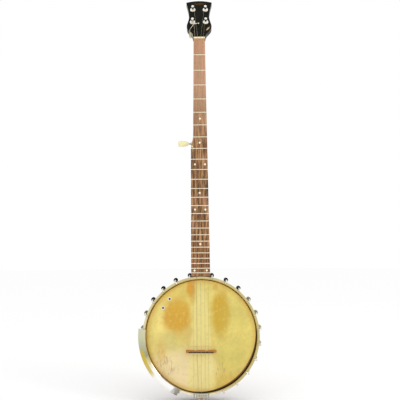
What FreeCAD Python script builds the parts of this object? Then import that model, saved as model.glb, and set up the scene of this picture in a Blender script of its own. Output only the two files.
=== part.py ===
import FreeCAD, Part
import math
import os
import Sketcher
from FreeCAD import Placement, Rotation, Vector

# Five-string long-neck open-back banjo, hanging upright.  Millimetres.
# World: +X to the viewer's right, +Y to the back, +Z up; the face looks to -Y.
# Three frames: POT (origin at the centre of the head's front), NECK (origin at the nut's
# board edge, -Z down the board) and PEG (origin at the foot of the peghead's face).

doc = FreeCAD.newDocument("banjo")
sheet = doc.addObject("Spreadsheet::Sheet", "Sizes")
ROWS = (
    ("scale_length", 817.6, "open string length, nut to the theoretical bridge line"),
    ("bridge_offset", 2.0, "how far the bridge stands beyond the scale line"),
    ("neck_pitch", 3.0, "angle between the neck and the head, degrees"),
    ("fret_count", 25, "frets on the board"),
    ("board_thick", 5.0, "fingerboard thickness"),
    ("board_end", 633.5, "fingerboard length from the nut"),
    ("nut_half", 15.1, "half width of the board at the nut"),
    ("heel_half", 24.0, "half width of the board at the last fret"),
    ("step_half", 17.5, "bass half width at the seventh fret"),
    ("wide_half", 23.5, "bass half width where the fifth string joins"),
    ("step_from", 271.9, "where the bass edge begins to widen"),
    ("step_to", 302.6, "where the bass edge has widened"),
    ("neck_depth", 21.0, "neck depth at the nut, board included"),
    ("heel_depth", 60.0, "heel depth at the rim, board included"),
    ("fret_wide", 2.0, "fret crown width"),
    ("fret_high", 1.1, "fret crown height"),
    ("tang_wide", 0.6, "fret tang width"),
    ("tang_deep", 1.8, "fret tang depth"),
    ("dot_radius", 2.6, "marker dot radius"),
    ("dot_thick", 1.0, "marker dot thickness"),
    ("nut_long", 5.0, "nut thickness along the neck"),
    ("nut_high", 2.4, "nut height over the board"),
    ("string_seat", 1.6, "slot floor over the board"),
    ("last_action", 4.0, "string height over the board at the last fret"),
    ("peg_tilt", 15.0, "peghead tilt behind the board, degrees"),
    ("peg_drop", 3.0, "peghead face below the board surface at its foot"),
    ("peg_long", 126.0, "peghead length"),
    ("peg_thick", 15.0, "peghead thickness with its veneer"),
    ("veneer", 2.0, "peghead veneer thickness"),
    ("tuner_low_x", 18.0, "lower tuners, half spacing"),
    ("tuner_low_z", 51.0, "lower tuners, height over the foot"),
    ("tuner_up_x", 17.3, "upper tuners, half spacing"),
    ("tuner_up_z", 94.0, "upper tuners, height over the foot"),
    ("post_radius", 3.0, "tuner post radius"),
    ("post_high", 15.0, "tuner post height over the peghead face"),
    ("running_fit", 0.05, "radial clearance of turning shafts"),
    ("sleeve_radius", 4.95, "tuner bushing sleeve radius"),
    ("flange_radius", 7.15, "tuner bushing flange radius"),
    ("flange_thick", 1.3, "tuner bushing flange thickness"),
    ("can_radius", 8.2, "tuner housing radius"),
    ("can_long", 12.0, "tuner housing length"),
    ("sun_radius", 2.2, "pitch radius of the sun pinion and the planets"),
    ("gear_wide", 4.0, "gear face width"),
    ("knob_radius", 9.5, "tuner button radius"),
    ("knob_long", 13.0, "tuner button length"),
    ("fifth_at", 287.5, "fifth peg, distance from the nut"),
    ("fifth_deep", 11.5, "fifth peg axis below the board surface"),
    ("pip_at", 298.0, "fifth string nut, distance from the nut"),
    ("pip_x", 20.0, "fifth string nut, distance from the centre line"),
    ("pot_z", 780.0, "head centre below the nut"),
    ("skin", 0.5, "head thickness"),
    ("rim_outer", 138.5, "rim outer radius"),
    ("rim_wall", 13.0, "rim wall"),
    ("rim_back", 64.0, "rim back edge behind the head"),
    ("rod_radius", 3.175, "tone ring rod radius"),
    ("flesh_radius", 2.0, "flesh hoop wire radius"),
    ("hoop_inner", 140.0, "tension hoop inner radius"),
    ("hoop_outer", 146.7, "tension hoop outer radius"),
    ("hoop_rabbet", 144.2, "tension hoop rabbet radius"),
    ("hoop_front", 3.0, "tension hoop front, in front of the head"),
    ("hoop_tall", 20.0, "tension hoop height"),
    ("seat", 0.05, "gap left between seated pieces"),
    ("hook_count", 24, "hooks"),
    ("hook_first", 10.9, "first hook from the neck line, degrees"),
    ("hook_step", 14.7, "hook spacing, degrees"),
    ("hook_radius", 2.1, "hook rod radius"),
    ("hook_circle", 150.5, "radius of the hook circle"),
    ("notch_deep", 2.6, "hook notch depth in the hoop"),
    ("shoe_front", 38.0, "shoe front behind the head"),
    ("shoe_tall", 12.0, "shoe height"),
    ("shoe_radius", 5.6, "shoe barrel radius"),
    ("nut_tall", 11.0, "hook nut height"),
    ("bolt_radius", 2.5, "shoe and lag bolt radius"),
    ("rod_one", 30.0, "upper coordinator rod behind the head"),
    ("rod_two", 50.0, "lower coordinator rod behind the head"),
    ("bar_radius", 3.175, "coordinator rod radius"),
    ("bridge_high", 15.9, "bridge height"),
    ("saddle_high", 1.8, "ebony strip height"),
    ("bridge_half", 38.0, "bridge half width at its feet"),
    ("saddle_half", 30.5, "bridge half width at its top"),
    ("bridge_foot", 7.0, "bridge thickness at its feet"),
    ("bridge_top", 3.0, "bridge thickness at its top"),
    ("tail_half", 14.0, "tailpiece half width"),
    ("tail_sheet", 1.6, "tailpiece sheet"),
    ("rest_from", 83.0, "armrest starts, degrees from the neck line"),
    ("rest_sweep", 74.0, "armrest sweep, degrees"),
    ("rest_sheet", 1.5, "armrest sheet"),
)
for number, (alias, value, note) in enumerate(ROWS, 1):
    sheet.set("A%d" % number, note)
    sheet.set("B%d" % number, "%s" % value)
    sheet.setAlias("B%d" % number, alias)
doc.recompute()


def mm(alias):
    return float(sheet.get(alias))


PITCH = mm("neck_pitch")
REACH = mm("scale_length") + mm("bridge_offset")
# The strings rise evenly from the nut slots over the last fret to the bridge top.
last_fret = mm("scale_length") * (1 - 2 ** (-mm("fret_count") / 12))
bridge_action = mm("string_seat") + (mm("last_action") - mm("string_seat")) * REACH / last_fret
BRIDGE_Z = -REACH * math.cos(math.radians(PITCH))
head_y = -REACH * math.sin(math.radians(PITCH)) - bridge_action + mm("bridge_high")

NECK = Placement(Vector(0, 0, 0), Rotation(Vector(1, 0, 0), -PITCH))
POT = Placement(Vector(0, head_y, -mm("pot_z")), Rotation())
PEG = NECK.multiply(Placement(Vector(0, mm("peg_drop"), mm("nut_long")),
                              Rotation(Vector(1, 0, 0), -mm("peg_tilt"))))
X_AXIS = Vector(1, 0, 0)
Y_AXIS = Vector(0, 1, 0)
Z_AXIS = Vector(0, 0, 1)
kept = []


def keep(thing, label):
    thing.Label = label
    kept.append(thing)
    return thing


def new_body(frame):
    body = doc.addObject("PartDesign::Body", "Body")
    body.Placement = frame
    return body


def sketch_on(body, role, shift=None):
    sketch = body.newObject("Sketcher::SketchObject", "Sketch")
    plane = [f for f in body.Origin.OriginFeatures if f.Role == role][0]
    sketch.AttachmentSupport = [(plane, "")]
    sketch.MapMode = "FlatFace"
    if shift:
        sketch.setExpression("AttachmentOffset.Base.z", shift)
    return sketch


def outline(body, role, points, shift=None):
    # Closed outline: every corner is held to the origin by two bound distances.
    sketch = sketch_on(body, role, shift)
    spots = [Vector(float(sheet.evalExpression(x)), float(sheet.evalExpression(y)), 0)
             for x, y in points]
    count = len(spots)
    sketch.addGeometry([Part.LineSegment(spots[i], spots[(i + 1) % count])
                        for i in range(count)], False)
    sketch.addConstraint([Sketcher.Constraint("Coincident", i, 2, (i + 1) % count, 1)
                          for i in range(count)])
    for i, (x, y) in enumerate(points):
        at = sketch.addConstraint(Sketcher.Constraint("DistanceX", -1, 1, i, 1, spots[i].x))
        sketch.setExpression("Constraints[%d]" % at, x)
        at = sketch.addConstraint(Sketcher.Constraint("DistanceY", -1, 1, i, 1, spots[i].y))
        sketch.setExpression("Constraints[%d]" % at, y)
    return sketch


def circles(body, role, rounds, shift=None):
    sketch = sketch_on(body, role, shift)
    for i, (x, y, radius) in enumerate(rounds):
        spot = Vector(float(sheet.evalExpression(x)), float(sheet.evalExpression(y)), 0)
        size = float(sheet.evalExpression(radius))
        sketch.addGeometry(Part.Circle(spot, Z_AXIS, size), False)
        for kind, value, text in (("DistanceX", spot.x, x), ("DistanceY", spot.y, y)):
            at = sketch.addConstraint(Sketcher.Constraint(kind, -1, 1, i, 3, value))
            sketch.setExpression("Constraints[%d]" % at, text)
        at = sketch.addConstraint(Sketcher.Constraint("Radius", i, size))
        sketch.setExpression("Constraints[%d]" % at, radius)
    return sketch


def revolve(body, sketch, axis="V_Axis", angle=None):
    turn = body.newObject("PartDesign::Revolution", "Turn")
    turn.Profile = sketch
    turn.ReferenceAxis = (sketch, [axis])
    turn.Angle = 360
    if angle:
        turn.setExpression("Angle", angle)
    body.Tip = turn
    return turn


def pad(body, sketch, length, both=False, back=False):
    grow = body.newObject("PartDesign::Pad", "Pad")
    grow.Profile = sketch
    grow.setExpression("Length", length)
    grow.Midplane = both
    grow.Reversed = back
    body.Tip = grow
    return grow


def pocket(body, sketch, length, both=False, back=False):
    cut = body.newObject("PartDesign::Pocket", "Pocket")
    cut.Profile = sketch
    cut.setExpression("Length", length)
    cut.Midplane = both
    cut.Reversed = back
    body.Tip = cut
    return cut


def feature(label, shape, frame):
    thing = doc.addObject("Part::Feature", "Feature")
    thing.Shape = shape
    thing.Placement = frame
    if label:
        keep(thing, label)
    return thing


def cut_from(label, base, tool):
    thing = doc.addObject("Part::Cut", "Cut")
    thing.Base = base
    thing.Tool = tool
    return keep(thing, label)


def rod(radius, start, end):
    way = end - start
    return Part.makeCylinder(radius, way.Length, start, way)


def tube(outer, inner, start, end):
    return rod(outer, start, end).cut(rod(inner, start - (end - start), end + (end - start)))


def hexagon(across, start, end, hole):
    way = end - start
    turn = Rotation(Z_AXIS, way)
    ring = [start + turn.multVec(Vector(across / math.sqrt(3) * math.cos(math.radians(60 * k)),
                                        across / math.sqrt(3) * math.sin(math.radians(60 * k)),
                                        0)) for k in range(7)]
    solid = Part.Face(Part.makePolygon(ring)).extrude(way)
    if hole:
        solid = solid.cut(rod(hole, start - way, end + way))
    return solid


def around(solid, angles):
    # Copies of one solid turned about the pot's axis; 0 is the neck side, + is to the left.
    shapes = []
    for angle in angles:
        turned = solid.copy()
        turned.rotate(Vector(0, 0, 0), Y_AXIS, -angle)
        shapes.append(turned)
    return Part.Compound(shapes)


HOOKS = [mm("hook_first") + k * mm("hook_step") for k in range(int(mm("hook_count")))]
SEAT = mm("seat")

# ---- Pot: rim, tone ring, head, flesh hoop, tension hoop ------------------------------
rim_top = "(2 * Sizes.rod_radius + Sizes.skin + Sizes.seat)"
blank = new_body(POT)
revolve(blank, outline(blank, "XY_Plane", (
    ("Sizes.rim_outer - Sizes.rim_wall", rim_top),
    ("Sizes.rim_outer", rim_top),
    ("Sizes.rim_outer", "Sizes.rim_back - 1.5"),
    ("Sizes.rim_outer - 1.5", "Sizes.rim_back"),
    ("Sizes.rim_outer - Sizes.rim_wall + 1.5", "Sizes.rim_back"),
    ("Sizes.rim_outer - Sizes.rim_wall", "Sizes.rim_back - 1.5"))))
shoe_mid = mm("shoe_front") + mm("shoe_tall") / 2
holes = [around(rod(mm("bolt_radius") + 0.1, Vector(0, shoe_mid, 100),
                    Vector(0, shoe_mid, 145)), HOOKS)]
for deep in (mm("rod_one"), mm("rod_two")):
    holes.append(rod(mm("bolt_radius") + 0.1, Vector(0, deep, 100), Vector(0, deep, 145)))
    holes.append(rod(mm("bar_radius") + 0.1, Vector(0, deep, -145), Vector(0, deep, -100)))
cut_from("rim", blank, feature("", Part.Compound(holes), POT))

ring = new_body(POT)
revolve(ring, circles(ring, "XY_Plane", (
    ("Sizes.rim_outer - Sizes.rod_radius + Sizes.seat", "Sizes.skin + Sizes.rod_radius",
     "Sizes.rod_radius - Sizes.seat / 2"),)))
keep(ring, "tone_ring")

skin = new_body(POT)
centre_r = "Sizes.rim_outer - Sizes.rod_radius + Sizes.seat"
inside = "(Sizes.rod_radius / cos(11.25))"
outside = "((Sizes.rod_radius + Sizes.skin) / cos(11.25))"
deep = "Sizes.skin + Sizes.rod_radius"
profile = [("0", "0")]
for angle in (78.75, 56.25, 33.75, 11.25):
    profile.append(("%s + %s * cos(%s)" % (centre_r, outside, angle),
                    "%s - %s * sin(%s)" % (deep, outside, angle)))
profile.append((profile[-1][0], "13"))
profile.append(("%s + %s * cos(11.25)" % (centre_r, inside), "13"))
for angle in (11.25, 33.75, 56.25, 78.75):
    profile.append(("%s + %s * cos(%s)" % (centre_r, inside, angle),
                    "%s - %s * sin(%s)" % (deep, inside, angle)))
profile.append(("0", "Sizes.skin"))
revolve(skin, outline(skin, "XY_Plane", profile))
keep(skin, "head")

flesh = new_body(POT)
revolve(flesh, circles(flesh, "XY_Plane", (
    ("Sizes.rim_outer + Sizes.skin + Sizes.flesh_radius + 0.15", "9.1",
     "Sizes.flesh_radius"),)))
keep(flesh, "flesh_hoop")

blank = new_body(POT)
revolve(blank, outline(blank, "XY_Plane", (
    ("Sizes.hoop_inner", "0.6 - Sizes.hoop_front"),
    ("Sizes.hoop_inner + 0.6", "-Sizes.hoop_front"),
    ("Sizes.hoop_outer - 0.8", "-Sizes.hoop_front"),
    ("Sizes.hoop_outer", "0.8 - Sizes.hoop_front"),
    ("Sizes.hoop_outer", "Sizes.hoop_tall - Sizes.hoop_front"),
    ("Sizes.hoop_rabbet", "Sizes.hoop_tall - Sizes.hoop_front"),
    ("Sizes.hoop_rabbet", "9.05 - Sizes.flesh_radius"),
    ("Sizes.hoop_inner", "9.05 - Sizes.flesh_radius"))))
notch = Part.makeBox(2 * mm("hook_radius") + 1, mm("notch_deep") + 5, 12,
                     Vector(-mm("hook_radius") - 0.5, -mm("hoop_front") - 5, 142))
cut_from("tension_hoop", blank, feature("", around(notch, HOOKS), POT))

# ---- Brackets: shoes, their bolts, hooks and hook nuts --------------------------------
shoe = new_body(Placement())
grow = pad(shoe, circles(shoe, "XZ_Plane", (("0", "Sizes.hook_circle", "Sizes.shoe_radius"),),
                         "-Sizes.shoe_front"), "Sizes.shoe_tall", back=True)
pad(shoe, outline(shoe, "XZ_Plane", (
    ("-5", "Sizes.rim_outer + 0.15"), ("5", "Sizes.rim_outer + 0.15"),
    ("3.2", "Sizes.rim_outer + 4.5"), ("3.2", "Sizes.hook_circle"),
    ("-3.2", "Sizes.hook_circle"), ("-3.2", "Sizes.rim_outer + 4.5")),
    "-Sizes.shoe_front - 1"), "Sizes.shoe_tall - 2", back=True)
pocket(shoe, circles(shoe, "XZ_Plane", (
    ("0", "Sizes.hook_circle", "Sizes.hook_radius + 0.15"),), "-Sizes.shoe_front + 1"),
    "Sizes.shoe_tall + 2")
pocket(shoe, circles(shoe, "XY_Plane", (
    ("0", "Sizes.shoe_front + Sizes.shoe_tall / 2", "Sizes.bolt_radius + 0.05"),),
    "Sizes.rim_outer - 5"), "11", back=True)
doc.recompute()
feature("bracket_shoes", around(shoe.Shape, HOOKS), POT)

inner_wall = mm("rim_outer") - mm("rim_wall")
bolt = rod(mm("bolt_radius"), Vector(0, shoe_mid, inner_wall - 0.4),
           Vector(0, shoe_mid, mm("rim_outer") + 5.5))
bolt = bolt.fuse(hexagon(8, Vector(0, shoe_mid, inner_wall - 3.6),
                         Vector(0, shoe_mid, inner_wall - 0.2), 0)).removeSplitter()
feature("shoe_bolts", around(bolt, HOOKS), POT)

claw_y = mm("notch_deep") - mm("hoop_front") - mm("hook_radius") - SEAT
bend = 4.0
circle_z = mm("hook_circle")
shoe_end = mm("shoe_front") + mm("shoe_tall")
foot = Vector(0, shoe_end + mm("nut_tall") - 1.5, circle_z)
low = Vector(0, claw_y + bend, circle_z)
high = Vector(0, claw_y, circle_z - bend)
middle = Vector(0, claw_y + bend * (1 - math.sin(math.pi / 4)),
                circle_z - bend * (1 - math.cos(math.pi / 4)))
tip = Vector(0, claw_y, 142.3)
path = Part.Wire([Part.makeLine(foot, low), Part.Arc(low, middle, high).toShape(),
                  Part.makeLine(high, tip)])
disc = Part.Wire([Part.makeCircle(mm("hook_radius"), foot, Y_AXIS)])
hook = path.makePipeShell([disc], True, False)
feature("tension_hooks", around(hook, HOOKS), POT)

nut_start = Vector(0, shoe_end + SEAT, circle_z)
nut_waist = nut_start + Vector(0, mm("nut_tall") * 0.5, 0)
nut_end = nut_start + Vector(0, mm("nut_tall"), 0)
cap = hexagon(7.2, nut_start, nut_waist, 0)
cap = cap.fuse(rod(3.5, nut_waist, nut_end)).removeSplitter()
cap = cap.cut(rod(mm("hook_radius") + 0.03, nut_start - Vector(0, 1, 0),
                  nut_end - Vector(0, 0.9, 0)))
feature("hook_nuts", around(cap, HOOKS), POT)

# ---- Coordinator rods, their nuts and the neck lag bolts ------------------------------
tail_gap = mm("rim_outer") + SEAT
bars = []
bar_nuts = []
lags = []
eye_z = -156.0
for deep in (mm("rod_one"), mm("rod_two")):
    end = eye_z - 8.5 if deep == mm("rod_one") else -tail_gap - 7
    top = inner_wall - 0.5
    bar = rod(mm("bar_radius"), Vector(0, deep, end), Vector(0, deep, top - 22))
    bar = bar.fuse(rod(5.0, Vector(0, deep, top - 24), Vector(0, deep, top)))
    bar = bar.cut(rod(mm("bolt_radius") + 0.03, Vector(0, deep, top - 16),
                      Vector(0, deep, top + 5)))
    bars.append(bar.removeSplitter())
    lags.append(rod(mm("bolt_radius"), Vector(0, deep, top - 15), Vector(0, deep, 160)))
    bore = mm("bar_radius") + 0.03
    bar_nuts.append(hexagon(11, Vector(0, deep, -inner_wall + 0.2),
                            Vector(0, deep, -inner_wall + 5.2), bore))
    bar_nuts.append(hexagon(11, Vector(0, deep, -tail_gap),
                            Vector(0, deep, -tail_gap - 5), bore))
bore = mm("bar_radius") + 0.03
bar_nuts.append(hexagon(10, Vector(0, mm("rod_one"), eye_z - 2.6),
                        Vector(0, mm("rod_one"), eye_z - 7.1), bore))
feature("coordinator_rods", Part.Compound(bars), POT)
feature("coordinator_rod_nuts", Part.Compound(bar_nuts), POT)
feature("neck_lag_bolts", Part.Compound(lags), POT)

# ---- Tailpiece with its hanger bolt and nut -------------------------------------------
plate_y = claw_y - mm("hook_radius") - 0.7
tail = new_body(POT)
sheet_t = "Sizes.tail_sheet"
pad(tail, outline(tail, "YZ_Plane", (
    ("%s" % plate_y, "-139.2"), ("%s - %s" % (plate_y, sheet_t), "-139.2"),
    ("%s - %s" % (plate_y, sheet_t), "-149.2"), ("-3.2", "-151.8"), ("8", "-151.8"),
    ("8", "-151.8 + %s" % sheet_t), ("%s" % plate_y, "-150"))),
    "2 * Sizes.tail_half", both=True)
pad(tail, outline(tail, "YZ_Plane", (
    ("8", "-149"), ("8", "-162"), ("8 + %s" % sheet_t, "-162"), ("8 + %s" % sheet_t, "-149"))),
    "16", both=True)
pocket(tail, circles(tail, "XZ_Plane", (("0", "%s" % eye_z, "2.2"),), "-5"), "8")
studs = []
tail_xs = [-11.0, -5.5, 0.0, 5.5, 11.0]
stud_z = -145.5
pad(tail, circles(tail, "XZ_Plane", [("%s" % x, "%s" % stud_z, "1.1") for x in tail_xs],
                  "%s" % -plate_y), "%s + 3.2" % sheet_t)
keep(tail, "tailpiece")

eye_y = mm("rod_one")
hang = rod(2.0, Vector(0, 1.5, eye_z), Vector(0, eye_y - 5.2, eye_z))
eye = tube(6.2, mm("bar_radius") + 0.15, Vector(0, eye_y, eye_z - 2.4), Vector(0, eye_y, eye_z + 2.4))
feature("tailpiece_bolt", hang.fuse(eye).removeSplitter(), POT)
feature("tailpiece_nut", hexagon(7, Vector(0, 8 - SEAT, eye_z), Vector(0, 3.2, eye_z), 2.03), POT)

# ---- Armrest, clamps, screws -----------------------------------------------------------
START = Placement(POT.Base, Rotation(Y_AXIS, -mm("rest_from") - mm("rest_sweep") - 90))
rest = new_body(START)
t = "Sizes.rest_sheet"
revolve(rest, outline(rest, "XY_Plane", (
    ("138", "-6.2"), ("138.6", "-7.6"), ("143", "-9.8"), ("149", "-10.6"), ("154", "-9.2"),
    ("157.2", "-5"), ("158", "1"), ("158 - %s" % t, "1"), ("157.2 - %s" % t, "-4.2"),
    ("153.4", "-9.2 + %s" % t), ("149", "-10.6 + %s" % t), ("143", "-9.8 + %s" % t),
    ("139.3", "-6.2"))), angle="Sizes.rest_sweep")
keep(rest, "armrest")

clamp = new_body(Placement())
hoop_end = "(Sizes.hoop_tall - Sizes.hoop_front)"
pad(clamp, outline(clamp, "YZ_Plane", (
    ("-8.92", "148"), ("-8.92", "149"), ("-8.1", "151.6"), ("-6.6", "151.6"),
    ("-7.3", "149.5"),
    ("%s + 4.5" % hoop_end, "149.5"), ("%s + 4.5" % hoop_end, "141"),
    ("%s + 2.5" % hoop_end, "141"), ("%s + 2.5" % hoop_end, "148"))),
    "10", both=True)
pocket(clamp, circles(clamp, "XZ_Plane", (("0", "145.4", "1.53"),), "-%s" % hoop_end), "8")
doc.recompute()
CLAMPS = [HOOKS[6] + mm("hook_step") / 2, HOOKS[8] + mm("hook_step") / 2]
feature("armrest_clamps", around(clamp.Shape, CLAMPS), POT)
under = mm("hoop_tall") - mm("hoop_front") + SEAT
screw = rod(1.5, Vector(0, under, 145.4), Vector(0, under + 7, 145.4))
screw = screw.fuse(rod(3.0, Vector(0, under + 7, 145.4), Vector(0, under + 11, 145.4)))
feature("armrest_screws", around(screw.removeSplitter(), CLAMPS), POT)

# ---- Bridge and the two studs on the head ----------------------------------------------
BRIDGE = Placement(Vector(0, head_y, BRIDGE_Z), Rotation())
feet = new_body(BRIDGE)
top = "(Sizes.saddle_high - Sizes.bridge_high)"
half = ((9.0, "-%s" % SEAT), (10.2, "-4.6"), (13.7, "-6.8"), (17.3, "-4.6"), (18.5, "-%s" % SEAT))
corners = [("-Sizes.bridge_half", "-Sizes.seat")]
corners += [("-%s" % x, y) for x, y in reversed(half)]
corners += [("%s" % x, y) for x, y in half]
corners += [("Sizes.bridge_half", "-Sizes.seat"), ("Sizes.bridge_half - 0.8", "-3.2"),
            ("Sizes.saddle_half + 2.6", "-8"), ("Sizes.saddle_half", "-11"),
            ("Sizes.saddle_half", top), ("-Sizes.saddle_half", top),
            ("-Sizes.saddle_half", "-11"), ("-Sizes.saddle_half - 2.6", "-8"),
            ("0.8 - Sizes.bridge_half", "-3.2")]
pad(feet, outline(feet, "XY_Plane", corners), "Sizes.bridge_foot", both=True)
pocket(feet, outline(feet, "YZ_Plane", (
    ("-2", "Sizes.bridge_foot / 2 + 1"), ("-2", "Sizes.bridge_foot / 2"),
    (top, "Sizes.bridge_top / 2"), ("%s - 1" % top, "Sizes.bridge_top / 2"),
    ("%s - 1" % top, "Sizes.bridge_foot / 2 + 1"))), "100", both=True)
pocket(feet, outline(feet, "YZ_Plane", (
    ("-2", "-Sizes.bridge_foot / 2 - 1"), ("-2", "-Sizes.bridge_foot / 2"),
    (top, "-Sizes.bridge_top / 2"), ("%s - 1" % top, "-Sizes.bridge_top / 2"),
    ("%s - 1" % top, "-Sizes.bridge_foot / 2 - 1"))), "100", both=True)
keep(feet, "bridge_feet")
saddle = new_body(BRIDGE)
pad(saddle, outline(saddle, "XY_Plane", (
    ("-Sizes.saddle_half", "%s - Sizes.seat / 2" % top), ("Sizes.saddle_half", "%s - Sizes.seat / 2" % top),
    ("Sizes.saddle_half", "-Sizes.bridge_high"), ("-Sizes.saddle_half", "-Sizes.bridge_high"))),
    "Sizes.bridge_top", both=True)
keep(saddle, "bridge_saddle")

studs = []
for angle, radius in ((40.7, 120.6), (54.0, 117.6)):
    at = Vector(-radius * math.sin(math.radians(angle)), 0, radius * math.cos(math.radians(angle)))
    stud = rod(2.6, at - Vector(0, SEAT, 0), at - Vector(0, 0.9, 0))
    dome = rod(1.7, at - Vector(0, 0.5, 0), at - Vector(0, 1.5, 0))
    studs.append(stud.fuse(dome).removeSplitter())
feature("head_studs", Part.Compound(studs), POT)

# ---- Fingerboard, frets, dots, nut and fifth string nut ---------------------------------
def fret_at(number):
    return mm("scale_length") * (1 - 2 ** (-number / 12))


def edges_at(u):
    # Left (bass) and right edges of the board at a distance from the nut.
    right = mm("nut_half") + (mm("heel_half") - mm("nut_half")) * u / last_fret
    if u <= mm("step_from"):
        left = mm("nut_half") + (mm("step_half") - mm("nut_half")) * u / mm("step_from")
    elif u <= mm("step_to"):
        along = (u - mm("step_from")) / (mm("step_to") - mm("step_from"))
        left = mm("step_half") + (mm("wide_half") - mm("step_half")) * along
    else:
        along = (u - mm("step_to")) / (last_fret - mm("step_to"))
        left = mm("wide_half") + (mm("heel_half") - mm("wide_half")) * along
    return -left, right


board = new_body(NECK)
slope = "(Sizes.heel_half - Sizes.nut_half) * Sizes.board_end / %.4f" % last_fret
pad(board, outline(board, "XZ_Plane", (
    ("-Sizes.nut_half", "0"), ("Sizes.nut_half", "0"),
    ("Sizes.nut_half + %s" % slope, "-Sizes.board_end"),
    ("-Sizes.heel_half", "-Sizes.board_end"), ("-Sizes.wide_half", "-Sizes.step_to"),
    ("-Sizes.step_half", "-Sizes.step_from"))), "Sizes.board_thick", back=True)
frets = []
slots = []
for number in range(1, int(mm("fret_count")) + 1):
    u = fret_at(number)
    left, right = edges_at(u)
    crown = Part.makeCylinder(mm("fret_wide") / 2 + 0.15, right - left - 0.4,
                              Vector(left + 0.2, 0.1, -u), X_AXIS)
    keep_box = Part.makeBox(right - left, mm("fret_high") + 1, 6,
                            Vector(left, -mm("fret_high") - 1 - SEAT / 2, -u - 3))
    crown = crown.common(keep_box)
    tang = Part.makeBox(right - left - 1.0, mm("tang_deep") + 0.2, mm("tang_wide"),
                        Vector(left + 0.5, -0.2, -u - mm("tang_wide") / 2))
    frets.append(crown.fuse(tang).removeSplitter())
    gap = SEAT / 2
    slots.append(Part.makeBox(right - left + 4, mm("tang_deep") + 0.1 + 2,
                              mm("tang_wide") + 2 * gap,
                              Vector(left - 2, -2, -u - mm("tang_wide") / 2 - gap)))
dots = []
DOTS = ((6, 0), (8, 0), (10, -13), (10, 13), (13, 0), (15, -13), (15, 13), (20, 0),
        (25, -15.5), (25, 15.5))
for number, x in DOTS:
    u = (fret_at(number) + fret_at(number - 1)) / 2
    left, right = edges_at(u)
    x = x + (0 if x else (left + right) / 2)
    at = Vector(x, 0, -u)
    dots.append(rod(mm("dot_radius"), at + Vector(0, 0.02, 0), at + Vector(0, mm("dot_thick"), 0)))
    slots.append(rod(mm("dot_radius") + 0.03, at - Vector(0, 1, 0),
                     at + Vector(0, mm("dot_thick") + 0.03, 0)))
pip_foot = Vector(-mm("pip_x"), 0, -mm("pip_at"))
slots.append(rod(1.03, pip_foot - Vector(0, 1, 0), pip_foot + Vector(0, 3.03, 0)))
cut_from("fretboard", board, feature("", Part.Compound(slots), NECK))
feature("frets", Part.Compound(frets), NECK)
feature("fret_markers", Part.Compound(dots), NECK)

GAUGES = {1: 0.13, 2: 0.165, 3: 0.205, 4: 0.29, 5: 0.13}
NUT_X = {1: 11.5, 2: 3.8, 3: -3.8, 4: -11.5}
bone = new_body(NECK)
pad(bone, outline(bone, "YZ_Plane", (
    ("Sizes.board_thick - Sizes.seat", "Sizes.seat"),
    ("-Sizes.nut_high + 0.4", "Sizes.seat"), ("-Sizes.nut_high", "Sizes.seat + 0.5"),
    ("-Sizes.nut_high + 0.5", "Sizes.nut_long - 1"),
    ("-Sizes.nut_high + 1.6", "Sizes.nut_long"),
    ("Sizes.peg_drop", "Sizes.nut_long"), ("Sizes.board_thick - Sizes.seat", "Sizes.nut_long"))),
    "2 * Sizes.nut_half", both=True)
TUNERS = {1: (mm("tuner_low_x"), mm("tuner_low_z")), 2: (mm("tuner_up_x"), mm("tuner_up_z")),
          3: (-mm("tuner_up_x"), mm("tuner_up_z")), 4: (-mm("tuner_low_x"), mm("tuner_low_z"))}


def prism(corners, way):
    face = Part.Face(Part.makePolygon(corners + corners[:1]))
    return face.extrude(way)


# Each slot falls away behind the break point and fans out towards its post.
slits = []
floor = -mm("string_seat")
for n, x in NUT_X.items():
    post_x = TUNERS[n][0] - math.copysign(mm("post_radius"), x)
    fan = (post_x - x) / TUNERS[n][1] * 4.8
    half = GAUGES[n] + 0.12
    side = prism([Vector(-40, floor - 4, -1), Vector(-40, floor, -1), Vector(-40, floor, 0.8),
                  Vector(-40, floor + 1.5, 5.6), Vector(-40, floor - 4, 5.6)], Vector(80, 0, 0))
    plan = prism([Vector(x - half, -9, -1), Vector(x + half, -9, -1), Vector(x + half, -9, 0.8),
                  Vector(x + half + fan, -9, 5.6), Vector(x - half + fan, -9, 5.6),
                  Vector(x - half, -9, 0.8)], Vector(0, 12, 0))
    slits.append(side.common(plan))
cut_from("nut", bone, feature("", Part.Compound(slits), NECK))
pip = rod(1.0, pip_foot + Vector(0, 3, 0), pip_foot - Vector(0, 1, 0))
pip = pip.fuse(rod(1.7, pip_foot - Vector(0, SEAT, 0), pip_foot - Vector(0, 3.2, 0)))
pip = pip.cut(Part.makeBox(0.5, 3, 8, pip_foot + Vector(-0.25, -mm("string_seat") - 3.4, -4)))
feature("fifth_string_nut", pip.removeSplitter(), NECK)

# ---- Neck: shaft and heel lofted, peghead added, seats for the fittings cut -------------
FIFTH_Z = -mm("fifth_at")


def neck_section(u, top_y, depth, squeeze):
    left, right = edges_at(max(0.0, min(u, mm("board_end"))))
    middle_x = (left + right) / 2
    half = (right - left) / 2
    points = []
    for k in range(13):
        turn = math.pi * k / 12
        bulge = math.sin(turn) ** 0.75
        pinch = 1 - squeeze * bulge ** 2
        points.append(Vector(middle_x + half * math.cos(turn) * pinch,
                             top_y + (depth - top_y) * bulge, -u))
    back = Part.BSplineCurve()
    back.interpolate(points)
    return Part.Wire([back.toShape(), Part.makeLine(points[-1], points[0])])


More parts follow.
